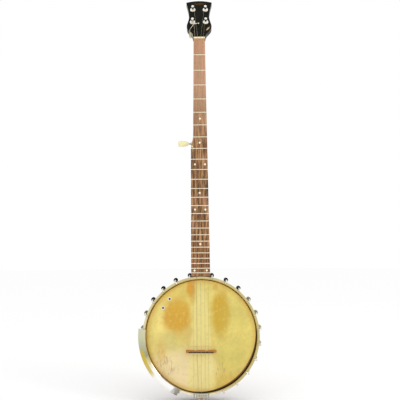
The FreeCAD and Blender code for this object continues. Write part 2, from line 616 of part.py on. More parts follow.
under_board = mm("board_thick") + SEAT
deep_0 = mm("neck_depth")
deep_1 = mm("heel_depth")
stations = ((-15.0, 8.2, deep_0 - 2.4, 0.0), (-5.1, under_board + 0.05, deep_0 - 0.3, 0.0),
            (0.0, under_board, deep_0, 0.0), (140.0, under_board, deep_0 + 0.7, 0.0),
            (271.9, under_board, deep_0 + 1.5, 0.0), (302.6, under_board, deep_0 + 1.8, 0.0),
            (450.0, under_board, deep_0 + 3, 0.0), (560.0, under_board, deep_0 + 4.5, 0.0),
            (574.0, under_board, deep_0 + 6.5, 0.02), (586.0, under_board, deep_0 + 11, 0.06),
            (597.0, under_board, deep_0 + 19, 0.12), (607.0, under_board, deep_1 - 12, 0.2),
            (617.0, under_board, deep_1 - 4.5, 0.26), (626.0, under_board, deep_1 - 1, 0.3),
            (652.0, under_board, deep_1, 0.32))
shaft = Part.makeLoft([neck_section(*station) for station in stations], True, True)
shaft.transformShape(NECK.toMatrix())

PEG_SHAPE = ((16.4, 0.0), (17.6, 7.0), (22.0, 15.0), (28.0, 22.0), (32.5, 29.0), (34.0, 36.0),
             (33.4, 43.0), (31.0, 51.0), (28.6, 60.0), (27.5, 70.0), (27.8, 80.0),
             (29.4, 91.0), (32.0, 104.0), (35.5, 120.5), (24.0, 123.4), (12.0, 125.4))


def peg_outline(body, foot, shift):
    points = [("%s" % w, "%s" % (z if z else foot)) for w, z in PEG_SHAPE]
    points.append(("0", "Sizes.peg_long"))
    points += [("-%s" % w, "%s" % (z if z else foot)) for w, z in reversed(PEG_SHAPE)]
    return outline(body, "XZ_Plane", points, shift)


def eased(shape):
    # The corners of the sides turn into tangent arcs, each as wide as its two runs allow, so
    # the sides flow in one curve; the shallow top keeps its few flats.
    for before, here, after in zip(PEG_SHAPE, PEG_SHAPE[1:], PEG_SHAPE[2:-1]):
        one = Vector(here[0] - before[0], here[1] - before[1], 0)
        two = Vector(after[0] - here[0], after[1] - here[1], 0)
        turn = one.getAngle(two)
        if turn < math.radians(3.5):
            continue
        reach = 0.44 * min(one.Length, two.Length)
        radius = 1.2 if turn > 1.0 else reach / math.tan(turn / 2)
        upright = []
        for edge in shape.Edges:
            ends = [PEG.inverse().multVec(v.Point) for v in edge.Vertexes]
            if len(ends) == 2 and all(abs(abs(e.x) - here[0]) < 0.01 and abs(e.z - here[1]) < 0.01
                                      for e in ends):
                upright.append(edge)
        shape = shape.makeFillet(radius, upright).Solids[0]
    return shape


paddle = new_body(PEG)
pad(paddle, peg_outline(paddle, "-1.5", "-Sizes.veneer - Sizes.seat"),
    "Sizes.peg_thick - Sizes.veneer - Sizes.seat", back=True)
doc.recompute()
tools = []
for x, z in TUNERS.values():
    tool = rod(mm("sleeve_radius") + 0.05, Vector(x, -5, z), Vector(x, 30, z))
    tool.transformShape(PEG.toMatrix())
    tools.append(tool)
tool = rod(4.0, Vector(-60, mm("fifth_deep"), FIFTH_Z), Vector(-8, mm("fifth_deep"), FIFTH_Z))
tool = tool.fuse(Part.makeCylinder(6.0, 40, Vector(-61, mm("fifth_deep"), FIFTH_Z), X_AXIS))
tool.transformShape(NECK.toMatrix())
tools.append(tool)
pot_tools = [rod(mm("rim_outer") + SEAT, Vector(0, -40, 0), Vector(0, 90, 0)),
             rod(mm("hoop_outer") + 0.7, Vector(0, -40, 0),
                 Vector(0, mm("hoop_tall") - mm("hoop_front") + 1, 0))]
for deep in (mm("rod_one"), mm("rod_two")):
    pot_tools.append(rod(mm("bolt_radius") + 0.05, Vector(0, deep, 100), Vector(0, deep, 160.5)))
for tool in pot_tools:
    tool.transformShape(POT.toMatrix())
    tools.append(tool)
nut_box = Part.makeBox(60, 40, 5.3, Vector(-30, -35 + mm("board_thick"), -0.2))
nut_box.transformShape(NECK.toMatrix())
tools.append(nut_box)
wood = shaft.fuse(eased(paddle.Shape))
for tool in tools:
    wood = wood.cut(tool)
wood = wood.removeSplitter()
feature("neck", wood, Placement())

veneer = new_body(PEG)
pad(veneer, peg_outline(veneer, "0.7", None), "Sizes.veneer", back=True)
pocket(veneer, circles(veneer, "XZ_Plane", [
    ("%s" % x, "%s" % z, "Sizes.sleeve_radius + 0.05") for x, z in TUNERS.values()], "1"), "9")
doc.recompute()
feature("peghead_overlay", eased(veneer.Shape), Placement())

# ---- Planetary tuners --------------------------------------------------------------------
FIT = mm("running_fit")
SUN = mm("sun_radius")
can_y = mm("peg_thick") + SEAT
floor_y = can_y + 1.5
gear_y = floor_y + 2.4
back_y = can_y + mm("can_long") - 2.6
end_y = can_y + mm("can_long")
housings = []
bushings = []
for x, z in TUNERS.values():
    at = Vector(x, 0, z)
    can = rod(mm("can_radius"), at + Vector(0, can_y, 0), at + Vector(0, end_y, 0))
    can = can.cut(rod(3 * SUN + 0.06, at + Vector(0, floor_y, 0), at + Vector(0, back_y, 0)))
    can = can.cut(rod(mm("post_radius") + 0.2, at, at + Vector(0, floor_y + 1, 0)))
    can = can.cut(rod(2.0 + FIT, at + Vector(0, back_y - 1, 0), at + Vector(0, end_y + 1, 0)))
    housings.append(can)
    low = -SEAT
    sleeve = rod(mm("sleeve_radius"), at + Vector(0, low - 0.2, 0), at + Vector(0, mm("peg_thick"), 0))
    collar = rod(mm("flange_radius"), at + Vector(0, low, 0),
                 at + Vector(0, low - mm("flange_thick"), 0))
    bush = sleeve.fuse(collar)
    bush = bush.cut(rod(mm("post_radius") + FIT, at - Vector(0, 5, 0), at + Vector(0, 20, 0)))
    bushings.append(bush.removeSplitter())
feature("tuner_housings", Part.Compound(housings), PEG)
feature("tuner_bushings", Part.Compound(bushings), PEG)

wind_y = -6.4
for number, (x, z) in TUNERS.items():
    at = Vector(x, 0, z)
    post = rod(mm("post_radius"), at - Vector(0, mm("post_high") - 1, 0),
               at + Vector(0, floor_y + 0.3, 0))
    post = post.fuse(rod(3.6, at - Vector(0, mm("post_high"), 0),
                         at - Vector(0, mm("post_high") - 1.8, 0)))
    post = post.fuse(rod(2.8 * SUN, at + Vector(0, floor_y + 0.2, 0),
                         at + Vector(0, gear_y - 0.2, 0)))
    post = post.cut(rod(0.8, at + Vector(-9, -10.5, 0), at + Vector(9, -10.5, 0)))
    wheels = []
    for k in range(3):
        turn = math.radians(90 + 120 * k)
        spot = at + Vector(2 * SUN * math.cos(turn), 0, 2 * SUN * math.sin(turn))
        post = post.fuse(rod(0.9, spot + Vector(0, gear_y - 0.4, 0),
                             spot + Vector(0, gear_y + mm("gear_wide"), 0)))
        wheels.append(tube(SUN - 0.04, 0.94, spot + Vector(0, gear_y, 0),
                           spot + Vector(0, gear_y + mm("gear_wide") - 0.2, 0)))
    feature("tuner_%d_post" % number, post.removeSplitter(), PEG)
    feature("tuner_%d_planets" % number, Part.Compound(wheels), PEG)
    knob_y = end_y + 1.2
    shaft_solid = rod(SUN - 0.04, at + Vector(0, gear_y, 0), at + Vector(0, back_y - 0.2, 0))
    shaft_solid = shaft_solid.fuse(rod(2.0, at + Vector(0, back_y - 0.4, 0),
                                       at + Vector(0, knob_y + mm("knob_long") + 0.4, 0)))
    shaft_solid = shaft_solid.fuse(rod(3.2, at + Vector(0, knob_y + mm("knob_long") + SEAT, 0),
                                       at + Vector(0, knob_y + mm("knob_long") + 1.6, 0)))
    feature("tuner_%d_shaft" % number, shaft_solid.removeSplitter(), PEG)
    knob = new_body(PEG.multiply(Placement(at, Rotation())))
    revolve(knob, outline(knob, "XY_Plane", (
        ("2.02", "%s" % knob_y), ("4.6", "%s" % knob_y), ("5.2", "%s" % (knob_y + 2.6)),
        ("Sizes.knob_radius - 0.8", "%s" % (knob_y + 4.4)),
        ("Sizes.knob_radius", "%s" % (knob_y + 6)),
        ("Sizes.knob_radius", "%s + Sizes.knob_long - 1.8" % knob_y),
        ("Sizes.knob_radius - 1.6", "%s + Sizes.knob_long" % knob_y),
        ("2.02", "%s + Sizes.knob_long" % knob_y))))
    keep(knob, "tuner_%d_button" % number)

# ---- Fifth string friction peg -------------------------------------------------------------
FIFTH = NECK.multiply(Placement(Vector(0, mm("fifth_deep"), FIFTH_Z), Rotation()))
side = -20.6
bush = tube(3.95, 2.5 + FIT, Vector(-10.5, 0, 0), Vector(side - 1.6, 0, 0))
bush = bush.fuse(tube(5.2, 2.5 + FIT, Vector(side - 0.4, 0, 0), Vector(side - 2.0, 0, 0)))
feature("fifth_peg_bushing", bush.removeSplitter(), FIFTH)
peg = rod(2.5, Vector(-9.0, 0, 0), Vector(-33.0, 0, 0))
peg = peg.fuse(rod(3.6, Vector(side - 2.0 - FIT, 0, 0), Vector(side - 3.2, 0, 0)))
peg = peg.fuse(rod(3.6, Vector(-29.6, 0, 0), Vector(-31.0, 0, 0)))
peg = peg.fuse(rod(2.0, Vector(-32.0, 0, 0), Vector(-57.0, 0, 0)))
peg = peg.cut(rod(0.6, Vector(-27.0, -9, 0), Vector(-27.0, 9, 0)))
feature("fifth_peg_shaft", peg.removeSplitter(), FIFTH)
button = new_body(FIFTH)
revolve(button, outline(button, "XY_Plane", (
    ("-31.1", "2.52"), ("-31.1", "4.4"), ("-34.5", "5.4"), ("-41", "7.4"), ("-49", "8.2"),
    ("-54.5", "7.6"), ("-56.9", "5.6"), ("-56.9", "2.04"), ("-33.1", "2.04"), ("-33.1", "2.52"))),
    axis="H_Axis")
keep(button, "fifth_peg_button")

# ---- Strings -------------------------------------------------------------------------------
BRIDGE_X = {5: -21.0, 4: -10.5, 3: 0.0, 2: 10.5, 1: 21.0}
TAIL_X = {5: -11.0, 4: -5.5, 3: 0.0, 2: 5.5, 1: 11.0}
for number, gauge in GAUGES.items():
    stud = POT.multVec(Vector(TAIL_X[number], plate_y - mm("tail_sheet") - 1.2, stud_z))
    loop = Part.makeTorus(1.1 + gauge + 0.02, gauge, stud, Y_AXIS)
    tail_end = stud + Vector(0.01, 0, 1.1 + gauge + 0.02)
    rest_at = Vector(BRIDGE_X[number], head_y - mm("bridge_high") - gauge - 0.06, BRIDGE_Z)
    spots = [tail_end, rest_at]
    if number == 5:
        pip_y = -mm("string_seat") - 0.4 - gauge - 0.05
        spots.append(NECK.multVec(Vector(-mm("pip_x"), pip_y, 1.8 - mm("pip_at"))))
        brink = mm("pip_at") - 4.0
        spots.append(NECK.multVec(Vector(edges_at(brink)[0] - 0.1, -gauge - 0.12, -brink)))
        coil_r = 2.5 + gauge + 0.08
        wind = FIFTH
        hub = Vector(-25.2, 0, 0)
        way = X_AXIS
        touch = Vector(-25.2, -coil_r, 0)
        step = Vector(-2.15 * gauge, 0, 0)
    else:
        x, z = TUNERS[number]
        spots.append(NECK.multVec(Vector(NUT_X[number], -mm("string_seat") - gauge - 0.06, 0.8)))
        coil_r = mm("post_radius") + gauge + 0.08
        wind = PEG
        hub = Vector(x, wind_y, z)
        way = Y_AXIS
        inward = -1 if x > 0 else 1
        touch = Vector(x + inward * coil_r, wind_y, z)
        step = Vector(0, 2.15 * gauge, 0)
    spots.append(wind.multVec(touch))
    solids = []
    for k in range(len(spots) - 1):
        solids.append(rod(gauge, spots[k], spots[k + 1]))
        solids.append(Part.makeSphere(gauge * 1.03, spots[k + 1]))
    line = loop.multiFuse(solids)
    coils = [Part.makeTorus(coil_r, gauge, hub + step * k, way) for k in range(4)]
    for coil in coils:
        coil.transformShape(wind.toMatrix())
    line = line.fuse(coils[0])
    feature("string_%d" % number, Part.Compound([line] + coils[1:]), Placement())

# ---- Check and write ---------------------------------------------------------------------
doc.recompute()
bad = [thing.Label for thing in doc.Objects
       if "Invalid" in thing.State or "Error" in thing.State]
bad += [thing.Label for thing in kept if thing.Shape.isNull() or not thing.Shape.isValid()]
if bad:
    raise RuntimeError("objects that failed: " + ", ".join(sorted(set(bad))))
os.makedirs("parts", exist_ok=True)
for thing in kept:
    thing.Shape.exportStep("parts/%s.step" % thing.Label)
    box = thing.Shape.BoundBox
    print("%-22s solids %3d  x %8.2f %8.2f  y %8.2f %8.2f  z %9.2f %9.2f" % (
        thing.Label, len(thing.Shape.Solids), box.XMin, box.XMax, box.YMin, box.YMax,
        box.ZMin, box.ZMax))
for number, (x, z) in TUNERS.items():
    at = PEG.multVec(Vector(x, 0, z))
    print("tuner", number, [round(v, 4) for v in at],
          [round(v, 6) for v in PEG.Rotation.multVec(Y_AXIS)])
print("fifth", [round(v, 4) for v in FIFTH.Base], "pot", [round(v, 4) for v in POT.Base],
      "bridge z", round(BRIDGE_Z, 3))
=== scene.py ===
import math

import bmesh
import bpy
from mathutils import Matrix, Vector


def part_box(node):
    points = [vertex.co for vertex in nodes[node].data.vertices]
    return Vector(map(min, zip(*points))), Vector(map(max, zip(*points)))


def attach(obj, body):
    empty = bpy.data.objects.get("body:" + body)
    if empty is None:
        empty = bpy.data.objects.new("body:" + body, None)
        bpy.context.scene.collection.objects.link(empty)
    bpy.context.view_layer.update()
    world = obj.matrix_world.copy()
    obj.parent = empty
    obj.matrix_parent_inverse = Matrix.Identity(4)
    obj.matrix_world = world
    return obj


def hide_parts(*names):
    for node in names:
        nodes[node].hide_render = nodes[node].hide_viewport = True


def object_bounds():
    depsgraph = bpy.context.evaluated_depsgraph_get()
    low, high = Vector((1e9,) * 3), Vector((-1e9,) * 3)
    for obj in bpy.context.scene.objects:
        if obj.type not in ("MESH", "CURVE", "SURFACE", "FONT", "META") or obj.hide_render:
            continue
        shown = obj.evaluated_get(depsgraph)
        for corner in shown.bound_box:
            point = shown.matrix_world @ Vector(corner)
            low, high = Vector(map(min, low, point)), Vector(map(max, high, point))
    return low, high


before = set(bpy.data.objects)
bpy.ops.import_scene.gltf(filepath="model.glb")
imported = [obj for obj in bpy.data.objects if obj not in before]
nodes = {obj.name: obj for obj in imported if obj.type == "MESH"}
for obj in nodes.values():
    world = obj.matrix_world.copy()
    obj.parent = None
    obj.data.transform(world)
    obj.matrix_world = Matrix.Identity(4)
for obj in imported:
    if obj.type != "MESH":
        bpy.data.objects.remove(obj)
cad_box = [list(corner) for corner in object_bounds()]

# ---- Neck ------------------------------------------------------------------------------------
# One length of maple with the heel and the peghead glued up behind it, stained red-brown and
# lacquered; the lacquer is rougher in soft patches.
MM = 0.001
PITCH = math.radians(3.0)  # the neck leans back from the skin head
TILT = math.radians(18.0)  # the peghead leans back from it, the neck's own lean included


def tone(red, green, blue):
    # A paint colour given in the usual 0 to 255 steps, as the shader's linear colour.
    steps = [c / 255.0 for c in (red, green, blue)]
    return tuple(s / 12.92 if s <= 0.04045 else ((s + 0.055) / 1.055) ** 2.4 for s in steps) + (1.0,)


class Tap:
    # One output socket of a finish: sums written on it become Math nodes.
    def __init__(self, finish, socket):
        self.finish, self.socket = finish, socket

    def sum(self, how, left, right_side):
        return self.finish.node("ShaderNodeMath", {"operation": how}, {0: left, 1: right_side})

    def __add__(self, other):
        return self.sum("ADD", self, other)

    def __radd__(self, other):
        return self.sum("ADD", other, self)

    def __sub__(self, other):
        return self.sum("SUBTRACT", self, other)

    def __rsub__(self, other):
        return self.sum("SUBTRACT", other, self)

    def __mul__(self, other):
        return self.sum("MULTIPLY", self, other)

    def __truediv__(self, other):
        return self.sum("DIVIDE", self, other)

    def __pow__(self, other):
        return self.sum("POWER", self, other)


class Finish:
    # A material being mixed; node() is the one way in which it takes on a node.
    def __init__(self, name):
        self.material = bpy.data.materials.new(name)
        self.material.use_nodes = True
        self.tree = self.material.node_tree
        self.tree.nodes.clear()

    def node(self, kind, settings=None, sockets=None, output=0):
        made = self.tree.nodes.new(kind)
        for key, value in (settings or {}).items():
            if key == "stops":
                ramp = made.color_ramp
                while len(ramp.elements) < len(value):
                    ramp.elements.new(0.5)
                for element, (place, colour) in zip(ramp.elements, value):
                    element.position, element.color = place, colour
            else:
                setattr(made, key, value)
        for key, value in (sockets or {}).items():
            if isinstance(value, Tap):
                self.tree.links.new(value.socket, made.inputs[key])
            else:
                made.inputs[key].default_value = value
        return Tap(self, made.outputs[output])

    def place(self, move=(0, 0, 0), stretch=(1, 1, 1), turn=(0, 0, 0)):
        # Where a point is on the piece, moved, then turned and stretched.
        spot = self.node("ShaderNodeTexCoord", output="Object")
        spot = self.node("ShaderNodeVectorMath", {"operation": "ADD"}, {0: spot, 1: move})
        return self.node("ShaderNodeMapping", None, {"Vector": spot, "Scale": stretch, "Rotation": turn})

    def axis(self, spot, letter):
        return self.node("ShaderNodeSeparateXYZ", None, {0: spot}, letter)

    def from_axis(self, spot):
        # How far a point lies from the Y axis, in metres.
        x, z = self.axis(spot, "X"), self.axis(spot, "Z")
        return (x * x + z * z) ** 0.5

    def noise(self, spot, scale, detail, rough=0.55, twist=0.0):
        return self.node("ShaderNodeTexNoise", {"noise_dimensions": "3D"},
                         {"Vector": spot, "Scale": scale, "Detail": detail, "Roughness": rough,
                          "Distortion": twist})

    def fade(self, value, start, end):
        # 0 below start and 1 above end, smooth between; a reversed pair falls instead.
        low, high, first, last = (start, end, 0.0, 1.0) if start < end else (end, start, 1.0, 0.0)
        return self.node("ShaderNodeMapRange", {"interpolation_type": "SMOOTHSTEP", "clamp": True},
                         {"Value": value, "From Min": low, "From Max": high, "To Min": first,
                          "To Max": last})

    def blend(self, share, first, second):
        # The first colour where share is 0 and the second where it is 1.
        return self.node("ShaderNodeMix", {"data_type": "RGBA", "clamp_factor": True},
                         {0: share, 6: first, 7: second}, 2)

    def ramp(self, value, stops):
        return self.node("ShaderNodeValToRGB", {"stops": stops}, {0: value})

    def blot(self, spot, x, z, wide, tall, soft):
        # 1 inside an upright oval around x, z and 0 outside it, with a soft edge.
        across = (self.axis(spot, "X") - x) / wide
        along = (self.axis(spot, "Z") - z) / tall
        reach = (across * across + along * along) ** 0.5
        return self.fade(reach, 1.0 + soft / 2, 1.0 - soft / 2)

    def finish(self, colour, rough, bump=None, height=0.0002, **extra):
        # height is how far, in metres, a bump of 1 stands out of the surface.
        sockets = {"Base Color": colour, "Roughness": rough}
        if bump is not None:
            sockets["Normal"] = self.node("ShaderNodeBump", None, {
                "Strength": 0.6, "Distance": height, "Height": bump})
        sockets.update({name.replace("_", " "): value for name, value in extra.items()})
        shader = self.node("ShaderNodeBsdfPrincipled", None, sockets)
        out = self.tree.nodes.new("ShaderNodeOutputMaterial")
        self.tree.links.new(shader.socket, out.inputs["Surface"])
        return self.material


def coat(piece, material):
    piece.data.materials.clear()
    piece.data.materials.append(material)


def dress(name, material, edge=0.0, crease=30.0):
    # A CAD piece keeps its shape; edge is how wide its corners over crease degrees are broken.
    piece = nodes[name]
    coat(piece, material)
    if edge:
        bevel = piece.modifiers.new("broken edge", "BEVEL")
        bevel.width, bevel.segments, bevel.limit_method = edge, 2, "ANGLE"
        bevel.angle_limit = math.radians(crease)
        bevel.use_clamp_overlap = True


def maple(name, grain_turn, light, dark, rough, over=None):
    # grain_turn brings the piece's grain onto Z; over paints on the bare wood's colour.
    wood = Finish(name)
    along = wood.place(turn=grain_turn, stretch=(1.0, 1.0, 0.07))
    figure = wood.noise(along, 260.0, 5.0, 0.62, 0.5)
    pores = wood.noise(along, 1100.0, 2.0, 0.7)
    flame = wood.noise(wood.place(turn=grain_turn, stretch=(0.5, 0.5, 1.6)), 42.0, 2.0, 0.5, 0.8)
    colour = wood.ramp(figure, ((0.3, dark), (0.5, tuple((a + b) / 2 for a, b in zip(light, dark))),
                                (0.72, light)))
    colour = wood.blend(wood.fade(flame, 0.45, 0.7) * 0.35, colour, light)
    colour = wood.blend(wood.fade(pores, 0.62, 0.75) * 0.45, colour, dark)
    gloss = 0.12
    if over is not None:
        colour, gloss = over(wood, colour)
    worn = wood.noise(wood.place(), 14.0, 3.0)
    return wood.finish(colour, wood.fade(worn, 0.3, 0.8) * 0.25 + (rough - 0.06), pores * 0.5 + figure,
                       0.0001, Coat_Weight=gloss, Coat_Roughness=0.15, Specular_IOR_Level=0.22)


def ebonised(wood, colour):
    # The edges of the peghead are blackened to match its face; its back stays bare.
    foot_y, foot_z, back = 0.0033, 0.0048, 0.0149
    spot = wood.place(move=(0, -foot_y, -foot_z))
    rise = wood.axis(spot, "Z")
    depth = wood.axis(spot, "Y") * math.cos(TILT) - rise * math.sin(TILT)
    edge = wood.fade(rise, -0.0052, -0.0042) * wood.fade(depth, back, back - 0.0009)
    return wood.blend(edge, colour, tone(6, 5, 4)), 0.12 - edge * 0.12


neck_wood = maple("lacquered_maple", (0, 0, 0), tone(150, 84, 38), tone(92, 44, 18), 0.28,
                  ebonised)
dress("neck", neck_wood)

# ---- Peghead veneer --------------------------------------------------------------------------
# A 2 mm sheet of wood glued to the peghead's face and lacquered black, speckled with dull
# flecks. One flake of lacquer is gone at the lower right edge, down to the bare wood.


def turned(angle):
    return Matrix.Rotation(angle, 4, "X")


neck_frame = turned(-PITCH)
face_drop, nut_long = 3.0 * MM, 5.0 * MM
peg_frame = neck_frame @ Matrix.Translation((0, face_drop, nut_long)) @ turned(-(TILT - PITCH))
black = Finish("black_lacquer")
spot = black.place()
fleck = black.noise(spot, 420.0, 3.0, 0.7)
cloud = black.noise(spot, 60.0, 3.0)
colour = black.ramp(fleck, ((0.44, tone(5, 5, 4)), (0.6, tone(24, 24, 14)),
                            (0.72, tone(62, 58, 34))))
colour = black.blend(black.fade(cloud, 0.5, 0.75) * 0.3, colour, tone(26, 24, 12))
ragged = black.noise(spot, 330.0, 4.0, 0.7)
chip_x, chip_z, chip_lean = 0.0262, 0.0350, math.radians(-38)
slant = black.place(move=(-chip_x, 0, -chip_z), turn=(0, chip_lean, 0))
bruise = black.blot(slant, 0.0, 0.0, 0.0042, 0.0110, 0.8) * black.fade(ragged, 0.3, 0.45)
chip = black.blot(slant, -0.0004, -0.0030, 0.0017, 0.0068, 0.5) * black.fade(ragged, 0.36, 0.46)
worn_top = black.blot(spot, 0.001, 0.1145, 0.0165, 0.0034, 1.0) * black.fade(ragged, 0.4, 0.6)
colour = black.blend(bruise * 0.75, colour, tone(66, 38, 18))
colour = black.blend(chip, colour, tone(206, 184, 138))
colour = black.blend(worn_top * 0.75, colour, tone(104, 72, 34))
black_lacquer = black.finish(colour, 0.3 + chip * 0.3 + black.fade(fleck, 0.55, 0.8) * 0.2,
                             fleck * 0.3 - chip, 0.00015, Specular_IOR_Level=0.1)
dress("peghead_overlay", black_lacquer, 0.0003, 40.0)

# ---- Fingerboard -----------------------------------------------------------------------------
# A 5 mm board of brown hardwood glued on the neck, open-grained, dry and paler towards the
# nut, where years of playing have polished it; the grain runs along the strings.
board = Finish("fingerboard_wood")
long_grain = board.place(stretch=(1.0, 1.0, 0.035))
streak = board.noise(long_grain, 300.0, 6.0, 0.7, 0.3)
fine = board.noise(board.place(stretch=(1.0, 1.0, 0.06)), 2100.0, 2.0, 0.7)
patch = board.noise(board.place(stretch=(1.0, 1.0, 0.35)), 38.0, 3.0)
height = board.axis(board.place(), "Z")
colour = board.ramp(streak, ((0.38, tone(40, 24, 10)), (0.46, tone(96, 63, 34)),
                             (0.53, tone(144, 101, 60)), (0.6, tone(198, 148, 98))))
colour = board.blend(board.fade(height, -0.40, 0.0) * 0.74, colour, tone(202, 152, 112))
greyed = board.fade(height, -0.30, -0.12) * board.fade(height, 0.0, -0.06)
colour = board.blend(greyed * 0.4, colour, tone(196, 160, 134))
colour = board.blend(board.fade(fine, 0.54, 0.66) * 0.45, colour, tone(60, 36, 22))
colour = board.blend(board.fade(patch, 0.5, 0.7) * 0.35, colour, tone(196, 142, 116))
rosy = board.fade(board.noise(long_grain, 260.0, 2.0), 0.5, 0.62) * board.fade(height, -0.26, -0.02)
colour = board.blend(rosy * 0.4, colour, tone(214, 146, 128))
colour = board.blend(board.fade(height, -0.50, -0.62) * 0.3, colour, tone(150, 82, 44))
fingerboard_wood = board.finish(colour, 0.42 + streak * 0.2, fine + streak, 0.00012,
                                Specular_IOR_Level=0.3)
dress("fretboard", fingerboard_wood)

# ---- Frets, marker dots, nut and fifth string nut --------------------------------------------
# Frets of drawn nickel silver pressed into slots, polished on top; dots of pearl shell let in
# flush; a yellowed bone nut and a small bone pip that stops the fifth string.


def metal(name, colour, rough, tarnish, amount=0.4, scale=90.0):
    # Bright metal under clouds of tarnish, amount strong, with fine scratches.
    plate = Finish(name)
    spot = plate.place()
    cloud = plate.noise(spot, scale, 4.0, 0.6)
    scratch = plate.noise(plate.place(stretch=(1.0, 1.0, 0.08), turn=(0.3, 0.4, 0.2)), 900.0, 3.0, 0.6)
    dull = plate.fade(cloud, 0.42, 0.72)
    mixed = plate.blend(dull * amount, colour, tarnish)
    return plate.finish(mixed, rough + dull * 0.16 + scratch * 0.07, scratch + cloud, 0.00004,
                        Metallic=1.0)


fret_metal = metal("nickel_silver", tone(252, 246, 222), 0.34, tone(226, 214, 178), 0.3)
dress("frets", fret_metal)
pearl = Finish("pearl_shell")
shell = pearl.noise(pearl.place(), 500.0, 4.0, 0.6, 1.6)
colour = pearl.ramp(shell, ((0.35, tone(244, 230, 200)), (0.5, tone(253, 248, 226)),
                            (0.65, tone(244, 240, 214))))
pearl_shell = pearl.finish(colour, 0.18, Coat_Weight=0.4, Coat_Roughness=0.08)
dress("fret_markers", pearl_shell)
bone = Finish("old_bone")
vein = bone.noise(bone.place(stretch=(0.15, 1.0, 1.0)), 1500.0, 4.0, 0.6)
colour = bone.ramp(vein, ((0.3, tone(232, 214, 160)), (0.7, tone(252, 244, 214))))
old_bone = bone.finish(colour, 0.38, vein, 0.00005, Subsurface_Weight=0.1)
dress("nut", old_bone, 0.0002, 40.0)
dress("fifth_string_nut", old_bone)

# ---- Tuning machines -------------------------------------------------------------------------
# Four planetary pegs through the peghead: nickel bushing and post in front, a round housing
# behind, and a turned cream button on the shaft with its end screw. The pegs' places are in
# millimetres, across and up the peghead's face from its foot.
nickel = metal("worn_nickel", tone(226, 222, 208), 0.16, tone(150, 138, 104), 0.45)
bright = metal("bright_nickel", tone(246, 244, 236), 0.14, tone(200, 192, 168), 0.25)
steel = metal("plain_steel", tone(176, 174, 168), 0.3, tone(96, 88, 76), 0.5, 160.0)
brass = metal("old_brass", tone(196, 156, 84), 0.3, tone(112, 82, 44), 0.5)
dress("tuner_bushings", bright)
dress("tuner_housings", nickel)
cream = Finish("cream_button")
swirl = cream.noise(cream.place(), 170.0, 3.0, 0.6, 2.2)
colour = cream.ramp(swirl, ((0.3, tone(230, 212, 150)), (0.5, tone(241, 228, 174)),
                            (0.7, tone(248, 238, 196))))
cream_button = cream.finish(colour, 0.2, Coat_Weight=0.5, Coat_Roughness=0.06,
                            Subsurface_Weight=0.15)


def lathe(name, profile, where, steps, start=0.0, sweep=math.tau):
    # A profile of (radius, place on the axis) pairs turned about the local Y axis.
    form = bmesh.new()
    on_axis = 1e-7
    whole = sweep == math.tau
    count = steps if whole else steps + 1
    rings = []
    for radius, rise in profile:
        if radius < on_axis:
            rings.append([form.verts.new((0, rise, 0))] * count)
            continue
        ring = []
        for k in range(count):
            angle = start + sweep * k / steps
            ring.append(form.verts.new((radius * math.cos(angle), rise, -radius * math.sin(angle))))
        rings.append(ring)
    pairs = range(count if whole else count - 1)
    for low, high in zip(rings, rings[1:]):
        for k in pairs:
            n = (k + 1) % count
            corners = []
            for vert in (low[k], low[n], high[n], high[k]):
                if vert not in corners:
                    corners.append(vert)
            if len(corners) > 2:
                form.faces.new(corners)
    if not whole:
        form.faces.new([ring[0] for ring in rings])
        form.faces.new([ring[-1] for ring in reversed(rings)])
    bmesh.ops.recalc_face_normals(form, faces=form.faces)
    return made(name, form, where)


CREASE = math.radians(38)


def made(name, form, where):
    # The finished form as an object: smooth, but with its creases kept sharp.
    mesh = bpy.data.meshes.new(name)
    form.transform(where)
    form.to_mesh(mesh)
    form.free()
    mesh.polygons.foreach_set("use_smooth", [True] * len(mesh.polygons))
    mesh.set_sharp_from_angle(angle=CREASE)
    piece = bpy.data.objects.new(name, mesh)
    bpy.context.collection.objects.link(piece)
    return piece


def rounded(corners):
    # The outline of (radius, place on the axis, arc) corners with each corner turned into an
    # arc as wide as its third value, within half of the shorter edge; 0 leaves it sharp.
    smooth = []
    cuts, within = 4, 0.48
    count = len(corners)
    for i, corner in enumerate(corners):
        here, radius = Vector(corner[:2]), corner[2]
        if radius == 0:
            smooth.append(tuple(here))
            continue
        before = Vector(corners[i - 1][:2]) - here
        after = Vector(corners[(i + 1) % count][:2]) - here
        radius = min(radius, before.length * within, after.length * within)
        one = here + before.normalized() * radius
        two = here + after.normalized() * radius
        for k in range(cuts + 1):
            t = k / cuts
            smooth.append(tuple((1 - t) ** 2 * one + 2 * t * (1 - t) * here + t * t * two))
    return smooth


tuners = {1: (18.0, 51.0), 2: (17.3, 94.0), 3: (-17.3, 94.0), 4: (-18.0, 51.0)}
knob_at = 28.25
knob_bore = 2.04
knob_corners = ((knob_bore, 0.0, 0), (4.5, 0.0, 0.5), (4.9, 2.4, 1.2), (8.9, 4.2, 1.6), (9.5, 6.4, 1.5),
                (9.5, 11.0, 1.6), (7.6, 13.0, 1.2), (knob_bore, 13.0, 0))
knob_turn = [(r * MM, (knob_at + y) * MM) for r, y in rounded(knob_corners)]
for number, (x, z) in tuners.items():
    for part, finish_of_part in (("post", bright), ("planets", brass), ("shaft", steel)):
        dress("tuner_%d_%s" % (number, part), finish_of_part)
    here = peg_frame @ Matrix.Translation((x * MM, 0, z * MM))
    knob = lathe("tuner_%d_button_turned" % number, knob_turn + knob_turn[:1], here, 48)
    coat(knob, cream_button)
    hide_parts("tuner_%d_button" % number)
    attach(knob, "tuner_%d_input" % number)

